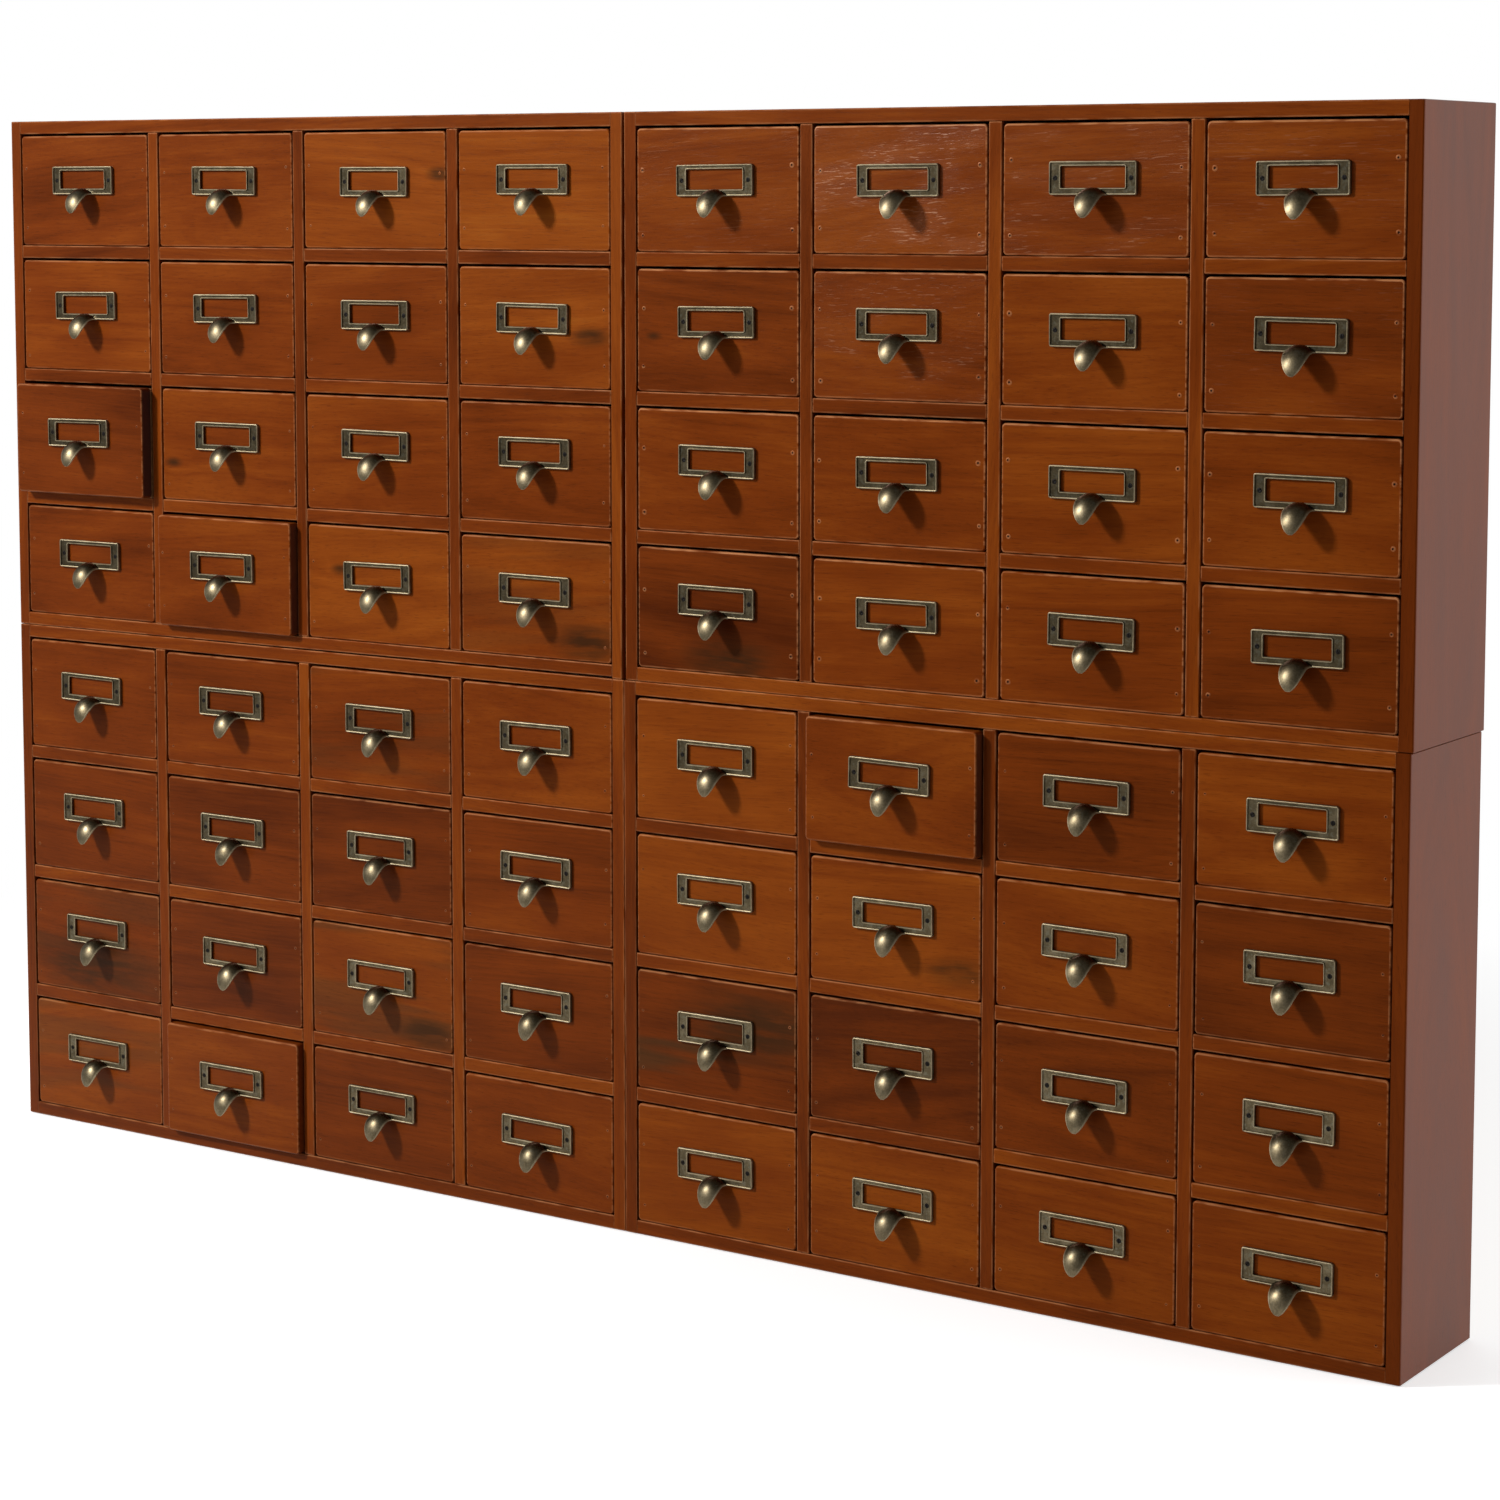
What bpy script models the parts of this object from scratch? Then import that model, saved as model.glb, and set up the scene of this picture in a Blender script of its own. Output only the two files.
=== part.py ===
"""A wall of small wooden drawers: four like cabinets of sixteen drawers, stacked two by two.

The fronts face -Y and +Z is up. The origin is on the floor, under the middle of the whole outline,
pulls included. Rows are counted from the top and columns from the left. Lengths are in metres.
"""

from math import cos, radians, sin, sqrt

import bmesh
import bpy
from mathutils import Matrix, Vector

# Counts: cabinets across and up, and the cells of one cabinet
CABINETS_WIDE = 2
CABINETS_HIGH = 2
COLUMNS = 4
ROWS = 4

# Carcass of one cabinet: the clear opening of a cell, and the boards round it
CELL_WIDTH = 0.1375
CELL_HEIGHT = 0.088
CARCASS_DEPTH = 0.114
SIDE_BOARD = 0.010
DIVIDER_BOARD = 0.010
SHELF_BOARD = 0.010
TOP_BOARD = 0.010
BOTTOM_BOARD = 0.010
BACK_BOARD = 0.004

# The stack: cabinets touch, and the upper right one stands a little to the right
SEAM = 0.0003
UPPER_RIGHT_SLIP = 0.0015

# Drawer box, and the room it has in its cell
DRAWER_FRONT = 0.010
DRAWER_SIDE = 0.009
DRAWER_BACK = 0.009
DRAWER_BOTTOM = 0.003
SIDE_CLEARANCE = 0.001
TOP_CLEARANCE = 0.0017
RUN_CLEARANCE = 0.0003
REAR_CLEARANCE = 0.0035
FRONT_INSET = 0.0005

# Drawers that stand a little open, as (row, column): how far
PULLED_FAR = 0.0105
PULLED_LITTLE = 0.0075
PULLED_LEAST = 0.006
PULLED = {
    (3, 1): PULLED_FAR,
    (4, 2): PULLED_LITTLE,
    (5, 6): PULLED_LITTLE,
    (8, 2): PULLED_LEAST,
}

# The drawers of this row are joined to their carcasses
JOINED_ROW = 1
JOIN_DEPTH = 0.0005

# Label frame of a pull: a plate with a window, let a little into the drawer front
FRAME_WIDTH = 0.064
FRAME_HEIGHT = 0.022
FRAME_STAND = 0.0025
FRAME_SUNK = 0.0005
FRAME_FROM_TOP = 0.025
FRAME_END_BAR = 0.0085
FRAME_TOP_BAR = 0.003
FRAME_BOTTOM_BAR = 0.005

# Finger tongue of a pull: a crowned sheet that leaves the lower bar, curls down and narrows. The
# flattening is the share of its crown that it has lost at the tip.
TONGUE_WIDTH = 0.0185
TONGUE_TIP_WIDTH = 0.005
TONGUE_REACH = 0.0135
TONGUE_DROP = 0.0190
TONGUE_ROOT_RISE = 0.0040
TONGUE_ROOT_SUNK = 0.0012
TONGUE_CROWN = 0.0044
TONGUE_FLATTENING = 0.6
TONGUE_SHEET = 0.0013
TONGUE_TURN = radians(97)
TONGUE_STEPS = 3
TONGUE_SPANS = 4

# How far cutters run past what they cut
OVERRUN = 0.002

# Colours, in linear light
WOOD_COLOUR = (0.205, 0.047, 0.010, 1.0)
WOOD_ROUGHNESS = 0.35
BRASS_COLOUR = (0.30, 0.26, 0.18, 1.0)
BRASS_ROUGHNESS = 0.35

# Sizes that follow
CELL_PITCH_X = CELL_WIDTH + DIVIDER_BOARD
CELL_PITCH_Z = CELL_HEIGHT + SHELF_BOARD
CABINET_WIDTH = 2 * SIDE_BOARD + COLUMNS * CELL_PITCH_X - DIVIDER_BOARD
CABINET_HEIGHT = BOTTOM_BOARD + ROWS * CELL_PITCH_Z - SHELF_BOARD + TOP_BOARD
CELL_DEPTH = CARCASS_DEPTH - BACK_BOARD
DRAWER_WIDTH = CELL_WIDTH - 2 * SIDE_CLEARANCE
DRAWER_HEIGHT = CELL_HEIGHT - TOP_CLEARANCE - RUN_CLEARANCE
DRAWER_DEPTH = CELL_DEPTH - REAR_CLEARANCE - FRONT_INSET
FRAME_BASE = DRAWER_HEIGHT - FRAME_FROM_TOP - FRAME_HEIGHT
WHOLE_WIDTH = CABINETS_WIDE * (CABINET_WIDTH + SEAM) - SEAM + UPPER_RIGHT_SLIP
FURTHEST_FRONT = PULLED_FAR - FRONT_INSET + FRAME_STAND + TONGUE_REACH
LEFT_X = -WHOLE_WIDTH / 2
FRONT_Y = (FURTHEST_FRONT - CARCASS_DEPTH) / 2


def clear_scene():
    """Removes every object, so that the file holds only the cabinet."""
    for thing in list(bpy.data.objects):
        bpy.data.objects.remove(thing, do_unlink=True)


def collection(name):
    """A new collection under the scene's own."""
    made = bpy.data.collections.new(name)
    bpy.context.scene.collection.children.link(made)
    return made


def material(name, colour, roughness, metallic):
    """A plain Principled material."""
    made = bpy.data.materials.new(name)
    made.use_nodes = True
    shader = made.node_tree.nodes["Principled BSDF"]
    shader.inputs["Base Color"].default_value = colour
    shader.inputs["Roughness"].default_value = roughness
    shader.inputs["Metallic"].default_value = metallic
    made.diffuse_color = colour
    return made


def place(name, mesh, into, location=(0, 0, 0)):
    """An object for a mesh, in a collection."""
    made = bpy.data.objects.new(name, mesh)
    made.location = location
    into.objects.link(made)
    return made


def boxes_mesh(name, corners, stuff):
    """A mesh of one closed box for each pair of a low and a high corner."""
    shape = bmesh.new()
    for low, high in corners:
        low, high = Vector(low), Vector(high)
        fit = Matrix.LocRotScale((low + high) / 2, None, high - low)
        bmesh.ops.create_cube(shape, size=1, matrix=fit)
    mesh = bpy.data.meshes.new(name)
    shape.to_mesh(mesh)
    shape.free()
    mesh.materials.append(stuff)
    return mesh


def combine(target, operand, operation):
    """A Boolean on the target. The operand becomes a guide, which isn't part of the model."""
    step = target.modifiers.new(operand.name, "BOOLEAN")
    step.operation = operation
    step.solver = "EXACT"
    step.material_mode = "TRANSFER"
    step.object = operand
    operand.hide_render = True
    operand.display_type = "WIRE"


def evaluated_mesh(thing, name):
    """A thing's mesh with its modifiers applied, as new data."""
    bpy.context.view_layer.update()
    ready = thing.evaluated_get(bpy.context.evaluated_depsgraph_get())
    mesh = bpy.data.meshes.new_from_object(ready)
    mesh.name = name
    return mesh


def tongue_point(along, across):
    """A point of the tongue's outer face. along runs from 0 at the root to 1 at the tip, and across
    from -1 to 1 between the two edges. The ridge is a quarter of an ellipse, and the edges lie
    inside it by the crown."""
    turned = along * TONGUE_TURN
    out = TONGUE_REACH * sin(turned)
    down = TONGUE_DROP * (1 - cos(turned)) / (1 - cos(TONGUE_TURN))
    taper = 1 - (TONGUE_TIP_WIDTH / TONGUE_WIDTH) ** 2
    narrowed = sqrt(1 - taper * along**3)
    crown = TONGUE_CROWN * (1 - TONGUE_FLATTENING * along)
    inward = crown * (narrowed * across) ** 2
    return Vector(
        (
            TONGUE_WIDTH / 2 * narrowed * across,
            -(FRAME_STAND + out - inward * sin(turned)),
            FRAME_BASE + TONGUE_ROOT_RISE - down - inward * cos(turned),
        )
    )


def tongue_mesh(stuff):
    """The tongue's outer face as an open sheet, lofted from its root inside the plate to its tip."""
    shape = bmesh.new()
    shares = [2 * i / TONGUE_SPANS - 1 for i in range(TONGUE_SPANS + 1)]
    root = [tongue_point(0, share) for share in shares]
    rows = [[point + Vector((0, TONGUE_ROOT_SUNK, 0)) for point in root]]
    for step in range(TONGUE_STEPS + 1):
        rows.append([tongue_point(step / TONGUE_STEPS, share) for share in shares])
    grid = [[shape.verts.new(point) for point in row] for row in rows]
    for upper, lower in zip(grid, grid[1:]):
        for i in range(TONGUE_SPANS):
            shape.faces.new((upper[i], lower[i], lower[i + 1], upper[i + 1]))
    mesh = bpy.data.meshes.new("tongue")
    shape.to_mesh(mesh)
    shape.free()
    mesh.materials.append(stuff)
    return mesh


def drawer_mesh(wood, brass, guides):
    """One drawer: an open box with its label frame and tongue. Its origin is at the foot of its
    front, in the middle."""
    half = DRAWER_WIDTH / 2
    inner = half - DRAWER_SIDE
    box = place(
        "drawer_box",
        boxes_mesh("drawer_box", [((-half, 0, 0), (half, DRAWER_DEPTH, DRAWER_HEIGHT))], wood),
        guides,
    )
    hollow_low = (-inner, DRAWER_FRONT, DRAWER_BOTTOM)
    hollow_high = (inner, DRAWER_DEPTH - DRAWER_BACK, DRAWER_HEIGHT + OVERRUN)
    hollow = place(
        "drawer_hollow", boxes_mesh("drawer_hollow", [(hollow_low, hollow_high)], wood), guides
    )

    frame_half = FRAME_WIDTH / 2
    plate_low = (-frame_half, -FRAME_STAND, FRAME_BASE)
    plate_high = (frame_half, FRAME_SUNK, FRAME_BASE + FRAME_HEIGHT)
    plate = place(
        "label_plate", boxes_mesh("label_plate", [(plate_low, plate_high)], brass), guides
    )
    window_half = frame_half - FRAME_END_BAR
    window_low = (-window_half, -FRAME_STAND - OVERRUN, FRAME_BASE + FRAME_BOTTOM_BAR)
    window_top = FRAME_BASE + FRAME_HEIGHT - FRAME_TOP_BAR
    window_high = (window_half, FRAME_SUNK + OVERRUN, window_top)
    window = place(
        "label_window", boxes_mesh("label_window", [(window_low, window_high)], brass), guides
    )

    tongue = place("finger_tongue", tongue_mesh(brass), guides)
    sheet = tongue.modifiers.new("sheet", "SOLIDIFY")
    sheet.thickness = TONGUE_SHEET
    sheet.offset = -1
    sheet.use_even_offset = True

    combine(plate, window, "DIFFERENCE")
    combine(box, hollow, "DIFFERENCE")
    combine(box, plate, "UNION")
    combine(box, tongue, "UNION")
    mesh = evaluated_mesh(box, "drawer")
    for helper in (box, hollow, plate, window, tongue):
        bpy.data.objects.remove(helper, do_unlink=True)
    return mesh


def cabinet_corner(across, up):
    """The low, left, front corner of a cabinet. across and up count from the lower left one."""
    slip = UPPER_RIGHT_SLIP if across and up else 0
    return Vector(
        (LEFT_X + across * (CABINET_WIDTH + SEAM) + slip, FRONT_Y, up * (CABINET_HEIGHT + SEAM))
    )


def cell_corner(row, column):
    """The low, left, front corner of a cell."""
    across, j = divmod(column - 1, COLUMNS)
    down, i = divmod(row - 1, ROWS)
    corner = cabinet_corner(across, CABINETS_HIGH - 1 - down)
    inside = (SIDE_BOARD + j * CELL_PITCH_X, 0, BOTTOM_BOARD + (ROWS - 1 - i) * CELL_PITCH_Z)
    return corner + Vector(inside)


def drawer_place(row, column):
    """Where a drawer's origin is."""
    pulled = PULLED.get((row, column), 0)
    offset = (CELL_WIDTH / 2, FRONT_INSET - pulled, RUN_CLEARANCE)
    return cell_corner(row, column) + Vector(offset)


def join_row(carcass, columns, drawer, wood, guides):
    """Joins one drawer in each of these columns to the carcass, by a seat under its floor. The gaps
    round its front stay open."""
    seats = []
    together = bmesh.new()
    for column in columns:
        origin = drawer_place(JOINED_ROW, column)
        half = DRAWER_WIDTH / 2 - DRAWER_SIDE
        low = (-half, DRAWER_FRONT, -RUN_CLEARANCE - JOIN_DEPTH)
        high = (half, DRAWER_DEPTH - DRAWER_BACK, JOIN_DEPTH)
        seats.append((origin + Vector(low), origin + Vector(high)))
        first = len(together.verts)
        together.from_mesh(drawer)
        together.verts.ensure_lookup_table()
        bmesh.ops.translate(together, verts=together.verts[first:], vec=origin)
    joined = bpy.data.meshes.new("joined_drawers")
    together.to_mesh(joined)
    together.free()
    for stuff in drawer.materials:
        joined.materials.append(stuff)
    name = carcass.name
    seat_guide = place(f"{name}_seats", boxes_mesh("seats", seats, wood), guides)
    drawer_guide = place(f"{name}_drawers", joined, guides)
    combine(carcass, seat_guide, "UNION")
    combine(carcass, drawer_guide, "UNION")


def add_carcass(name, across, up, drawer, wood, parts, guides):
    """One cabinet's carcass: a block with its cells cut out, open at the front."""
    low = cabinet_corner(across, up)
    high = low + Vector((CABINET_WIDTH, CARCASS_DEPTH, CABINET_HEIGHT))
    carcass = place(name, boxes_mesh(name, [(low, high)], wood), parts)
    first_row = (CABINETS_HIGH - 1 - up) * ROWS + 1
    first_column = across * COLUMNS + 1
    rows = range(first_row, first_row + ROWS)
    columns = range(first_column, first_column + COLUMNS)
    cells = []
    for row in rows:
        for column in columns:
            corner = cell_corner(row, column)
            size = Vector((CELL_WIDTH, CELL_DEPTH, CELL_HEIGHT))
            cells.append((corner - Vector((0, OVERRUN, 0)), corner + size))
    cells_guide = place(f"{name}_cells", boxes_mesh("cells", cells, wood), guides)
    combine(carcass, cells_guide, "DIFFERENCE")
    if JOINED_ROW in rows:
        join_row(carcass, columns, drawer, wood, guides)


def build():
    """The whole wall: four carcasses, and a drawer object for each cell that isn't joined."""
    clear_scene()
    parts = collection("drawer_cabinet")
    guides = collection("guides")
    wood = material("stained_wood", WOOD_COLOUR, WOOD_ROUGHNESS, 0)
    brass = material("antique_brass", BRASS_COLOUR, BRASS_ROUGHNESS, 1)
    drawer = drawer_mesh(wood, brass, guides)
    for up, height in enumerate(("lower", "upper")):
        for across, side in enumerate(("left", "right")):
            name = f"carcass_{height}_{side}"
            add_carcass(name, across, up, drawer, wood, parts, guides)
    for row in range(1, CABINETS_HIGH * ROWS + 1):
        if row == JOINED_ROW:
            continue
        for column in range(1, CABINETS_WIDE * COLUMNS + 1):
            place(f"drawer_r{row}c{column}", drawer, parts, drawer_place(row, column))


build()
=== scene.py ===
from math import cos, pi, radians, sin, sqrt
from random import Random

import bpy
from mathutils import Euler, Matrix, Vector

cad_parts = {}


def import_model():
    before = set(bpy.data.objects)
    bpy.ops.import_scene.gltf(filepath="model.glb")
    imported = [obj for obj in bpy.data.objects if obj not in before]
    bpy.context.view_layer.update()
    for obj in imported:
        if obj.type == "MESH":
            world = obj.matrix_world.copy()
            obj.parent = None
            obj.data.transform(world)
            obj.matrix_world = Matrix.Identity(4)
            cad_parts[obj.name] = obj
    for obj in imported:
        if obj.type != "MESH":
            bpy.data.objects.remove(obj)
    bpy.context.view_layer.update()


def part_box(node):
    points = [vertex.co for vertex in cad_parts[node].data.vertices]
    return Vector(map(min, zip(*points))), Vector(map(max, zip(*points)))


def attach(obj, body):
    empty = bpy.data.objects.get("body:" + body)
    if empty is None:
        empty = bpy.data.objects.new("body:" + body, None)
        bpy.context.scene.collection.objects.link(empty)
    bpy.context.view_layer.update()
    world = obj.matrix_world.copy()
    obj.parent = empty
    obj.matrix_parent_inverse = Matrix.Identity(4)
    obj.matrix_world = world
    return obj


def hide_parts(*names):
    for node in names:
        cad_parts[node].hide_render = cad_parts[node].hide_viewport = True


# Looks of a wall of small wooden drawers: four like cabinets of sixteen drawers, stacked two by two.
# The fronts face -Y and +Z is up. Rows are counted from the top, columns from the left, in metres.

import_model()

# Counts
CELLS = 4
CABINETS = {
    "upper_left": (1, 1),
    "upper_right": (1, 5),
    "lower_left": (5, 1),
    "lower_right": (5, 5),
}
JOINED_ROW = 1
CARCASS_BODY = "carcasses"

# Directions
RIGHT, REAR, UP = Vector((1, 0, 0)), Vector((0, 1, 0)), Vector((0, 0, 1))
FRONT = -REAR

# Carcass boards, with their seams, and the brads of the back panels
BOARD = 0.010
BACK_PANEL = 0.004
CARCASS_ROUND = 0.0008
CORNER_ROUND = 0.0014
JOINT_ROUND = 0.0001
JOINT_GAP = 0.00012
SET_BACK = 0.00035
SEAM_OPENING = 0.0016
FOOT_LIFT = 0.0014
BRAD_PROFILE = ((0.0012, 0.0), (0.00096, 0.00012), (0.0004, 0.00018))
BRAD_SHARES = (-0.96, -0.48, 0.0, 0.48, 0.96)
BRAD_FROM_EDGE = 0.006

# Drawer boards
DRAWER_WIDTH = 0.1355
DRAWER_HEIGHT = 0.086
DRAWER_DEPTH = 0.106
DRAWER_FRONT = 0.010
DRAWER_SIDE = 0.009
DRAWER_FLOOR = 0.003
TRAY_IN = 0.0002
TRAY_LOWER = 0.0008
FRONT_ROUND = 0.0011
FRONT_CORNER = 0.0030
TRAY_ROUND = 0.0006
WEAR_BAND = 0.0005
FRONT_ARRIS_STEPS = 3
# Share of a front's arrises rubbed bare anywhere, and more on its upper and right arrises, which is
# painted highlight
WORN_ANYWHERE, PAINTED_HIGHLIGHT_ABOVE, PAINTED_HIGHLIGHT_RIGHT = 0.45, 0.55, 0.35

# Nails in a drawer front, from its side edges and its top, and the low crater round each
NAIL_FROM_SIDE = 0.0054
NAIL_HEIGHTS = (0.027, 0.072)
NAIL_SPREAD = 0.004
NAIL_SIDE_SPREAD = 0.0008
NAIL_SIZES = (0.7, 1.0)
NAIL_CLEARNESS = {"upper_right": 1.0}
USUAL_NAIL_CLEARNESS = 0.7
NAIL_SIDES = 10
NAIL_RUB = 0.6
NAIL_PROFILE = ((0.0021, 0.0), (0.0015, 0.00014), (0.0010, 0.00020), (0.0007, 0.00004))

# Pull: label frame
FRAME_WIDTH = 0.064
FRAME_HEIGHT = 0.022
FRAME_FROM_TOP = 0.025
FRAME_END_BAR = 0.0085
FRAME_TOP_BAR = 0.0033
FRAME_BOTTOM_BAR = 0.0047
FRAME_CORNER = 0.0017
WINDOW_CORNER = 0.0006
RIM_WIDTH = 0.0013
RIM_STAND = 0.0025
FIELD_STAND = 0.0015
WINDOW_RIM_WIDTH = 0.0010
WINDOW_RIM_STAND = 0.0023
# From the foot over each rim: shares of its width and of its stand, and how rubbed it is there
OUTER_RIM_SHARES = ((0, 0, 0.3), (0, 0.62, 0.6), (0.2, 0.92, 0.9), (0.5, 1, 1), (0.8, 0.92, 0.8))
WINDOW_RIM_SHARES = ((0.8, 1, 0.8), (0.4, 1, 1), (0, 0.8, 0.7), (0, 0, 0))
CORNER_STEPS = 4
SCREW_FROM_END = 0.00425
SCREW_RADIUS = 0.0018
SCREW_RISE = 0.0004
SCREW_SUNK = 0.0001
SCREW_SLOT = 0.00045
SCREW_SIDES, SCREW_STEPS = 16, 5
SCREW_TURNS = (0.6, 1.9)
# How untrue the pulls are set: sideways, up and down, and turned
PULL_DRIFT_X, PULL_DRIFT_Z = 0.0008, 0.0012
PULL_TURN = radians(0.7)

# Pull: finger tongue
TONGUE_WIDTH = 0.0185
TONGUE_FLARE = 0.0016
TONGUE_FLARE_SHARE = 0.30
TONGUE_REACH = 0.0135
TONGUE_DROP = 0.0198
TONGUE_ROOT_RISE = 0.0050
TONGUE_ROOT_SUNK = 0.0014
TONGUE_CROWN = 0.0044
TONGUE_FLATTENING = 0.6
TONGUE_SHEET = 0.0012
TONGUE_TURN = radians(97)
TONGUE_SHOULDER = 3.0
TONGUE_POINT = 1.6
TONGUE_END_SHARE = 0.985
TONGUE_STEPS = (26, 14)
TONGUE_EASE = 1.6
TONGUE_SUNK = 0.0002
TONGUE_RIM_SHARE = 0.4
# How light the tongue's brass is: darker at its root, how much lighter along it, where that starts and
# is full, and inside
TONGUE_ROOT_DARKENING, TONGUE_MORE_WEAR = -0.30, 0.60
TONGUE_WEAR_FROM, TONGUE_WEAR_OVER = 0.12, 0.5
TONGUE_INNER_WEAR = 0.1
TONGUE_EDGE = 0.98

# Shades that set a drawer front apart, from -1 for dark to 1 for light: mostly the stain's own tone, but
# the lighter fronts of the bottom row are partly painted light from the floor below, and (1, 6) partly
# painted sheen
TONES_AND_PAINTED_LIGHT = {
    (1, 3): 0.50, (1, 4): 0.80, (1, 6): 0.30, (1, 8): 0.20,
    (2, 1): 0.25, (2, 4): 0.50, (2, 5): -0.25, (2, 7): 0.30, (2, 8): -0.30,
    (3, 1): -0.50, (3, 3): 0.25, (3, 7): 0.35,
    (4, 1): -0.20, (4, 3): 0.65, (4, 4): 0.25, (4, 5): -0.60, (4, 8): -0.35,
    (5, 4): 0.30, (5, 5): 0.60, (5, 6): 0.25, (5, 7): -0.25, (5, 8): 0.40,
    (6, 1): -0.25, (6, 2): -0.40, (6, 3): -0.55, (6, 5): 0.45, (6, 6): 0.55, (6, 7): 0.20, (6, 8): -0.55,
    (7, 1): -0.30, (7, 2): -0.40, (7, 3): 0.30, (7, 4): -0.45, (7, 5): -0.45, (7, 6): -0.85,
    (7, 7): -0.40,
    (8, 1): 0.55, (8, 2): 0.25, (8, 3): -0.35, (8, 5): 0.25, (8, 6): 0.60, (8, 7): 0.25, (8, 8): 0.25,
}
# Fronts with dark streaks, and how strong these are
STREAKS = {(7, 3): 0.5, (5, 3): 0.3, (8, 1): 0.4, (4, 4): 0.2, (7, 5): 0.75, (7, 1): 0.3}
# Dark knots and smudges in a front: their place from its middle, and their size
KNOTS = {
    (3, 2): (-0.057, -0.014, 0.0075),
    (2, 5): (-0.054, -0.004, 0.0060),
    (4, 3): (-0.036, 0.010, 0.0080),
    (4, 4): (0.046, -0.030, 0.0230),
    (4, 5): (0.010, -0.034, 0.0300),
    (7, 1): (-0.006, -0.020, 0.0460),
    (7, 5): (0.036, 0.014, 0.0480),
    (7, 3): (0.044, -0.030, 0.0230),
    (1, 3): (0.062, 0.012, 0.0100),
    (6, 6): (0.050, -0.026, 0.0200),
    (2, 4): (0.050, -0.006, 0.0130),
}
NO_KNOT = (1.0, 1.0, 0.001)
# Fronts whose lacquer is scratched and shines, and how much; the scratches' light colour is a painted
# highlight
GLOSS_LINES = {(1, 5): 0.18, (1, 6): 1.0, (1, 7): 0.50, (1, 8): 0.20, (2, 6): 0.40, (2, 8): 0.10}
# How dark the end grain of a front is, with painted shade on the pulled-out end of (3, 1) and painted
# light on that of (8, 2), and how far the arrises of a cabinet's fronts have rubbed bare
END_SOAK_AND_PAINTED_SHADE = {(3, 1): 0.95, (8, 2): 0.15}
USUAL_END_DARKNESS = 0.65
WORN = {"upper_left": 0.55, "upper_right": 1.0, "lower_left": 0.55, "lower_right": 0.65}
CARCASS_WORN = 0.60
TRAY_WORN = 0.25
BACK_WORN = 0.3
# How far the shades of pieces that aren't listed spread, and the shades of boards that are set
SHADE_SPREAD = 0.15
CARCASS_SPREAD = 0.45
TRAY_SPREAD = 0.3
BACK_SPREAD = 0.2
TOP_SHADES = {"lower_right": 0.45, "lower_left": 0.2, "upper_left": 0.1, "upper_right": 0.1}
# Painted shade: the outer side boards are set darker, which shades their front edges; their faces that
# look to the right are lifted again as painted light
OUTER_SIDE_PAINTED_SHADE = -0.5

# How boards are sawn: their turn round the trunk for flat and for slanting rings, how far the pith is
# from them, their lean from the trunk's axis, how far they lie off it, and the trunk's length
FLAT_TURNS, SLANT_TURNS = (-0.45, 0.45), (0.5, 1.1)
PITH_AWAY = (0.022, 0.085)
LEANS_ACROSS, LEANS_OUT = (-0.06, 0.06), (-0.08, 0.08)
OFF_AXIS = (-0.02, 0.02)
TRUNK_LENGTH = 30

# Where an arris's middle line lies, as a share of its radius, and how rubbed the wood is near it
ARRIS_MIDDLE_SHARE = 0.414
NEAR_ARRIS_WEAR = 0.6
FRONT_NEAR_WEAR = 0.1
END_GRAIN_FROM = 0.7

# Camera, from a fit to the corners and seams of the photograph. Lens and sensor are in millimetres.
CAMERA_PLACE = (1.4569, -2.0578, 0.7453)
CAMERA_YAW = radians(33.822)
CAMERA_PITCH = radians(5.342)
CAMERA_LENS = 84.4
CAMERA_SHIFT = -0.15
SENSOR_WIDTH = 36.0


class Piece:
    """Points, faces and surface values of one piece, gathered shape by shape."""

    def __init__(self):
        self.points = []
        self.normals = []
        self.faces = []
        self.slots = []
        self.values = {"grain": [], "stain": [], "knot": [], "wear": []}

    def add(self, points, normals, faces, slot, **values):
        first = len(self.points)
        self.points += points
        self.normals += normals
        self.faces += [[first + i for i in face] for face in faces]
        self.slots += [slot] * len(faces)
        for name, kept in self.values.items():
            kept += values[name]

    def build(self, name, *materials):
        mesh = bpy.data.meshes.new(name)
        mesh.from_pydata(self.points, [], self.faces)
        for material in materials:
            mesh.materials.append(material)
        mesh.polygons.foreach_set("material_index", self.slots)
        for label, kept in self.values.items():
            layer = mesh.attributes.new(label, "FLOAT_VECTOR", "POINT")
            layer.data.foreach_set("vector", [x for value in kept for x in value])
        mesh.shade_smooth()
        mesh.normals_split_custom_set_from_vertices(self.normals)
        return placed(name, mesh)


def placed(name, mesh):
    made = bpy.data.objects.new(name, mesh)
    bpy.context.scene.collection.objects.link(made)
    return made


def sawn(rng, centre, along, outward):
    """How a board was sawn from its trunk: a function from a point of the board to a point of the
    trunk, whose axis is X. along is the board's grain and outward its broad face's normal."""
    across = outward.cross(along)
    turn = rng.choice((rng.uniform(*FLAT_TURNS), rng.uniform(*SLANT_TURNS)))
    pith = rng.uniform(*PITH_AWAY)
    lean_across, lean_out = rng.uniform(*LEANS_ACROSS), rng.uniform(*LEANS_OUT)
    shift = rng.uniform(*OFF_AXIS)
    start = rng.uniform(0, TRUNK_LENGTH)

    def trunk(point):
        p = point - centre
        x, y, z = p.dot(along), p.dot(across), p.dot(outward)
        y += shift + lean_across * x
        z += lean_out * x
        return (x + start, y * cos(turn) - z * sin(turn), y * sin(turn) + z * cos(turn) + pith)

    return trunk


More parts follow.
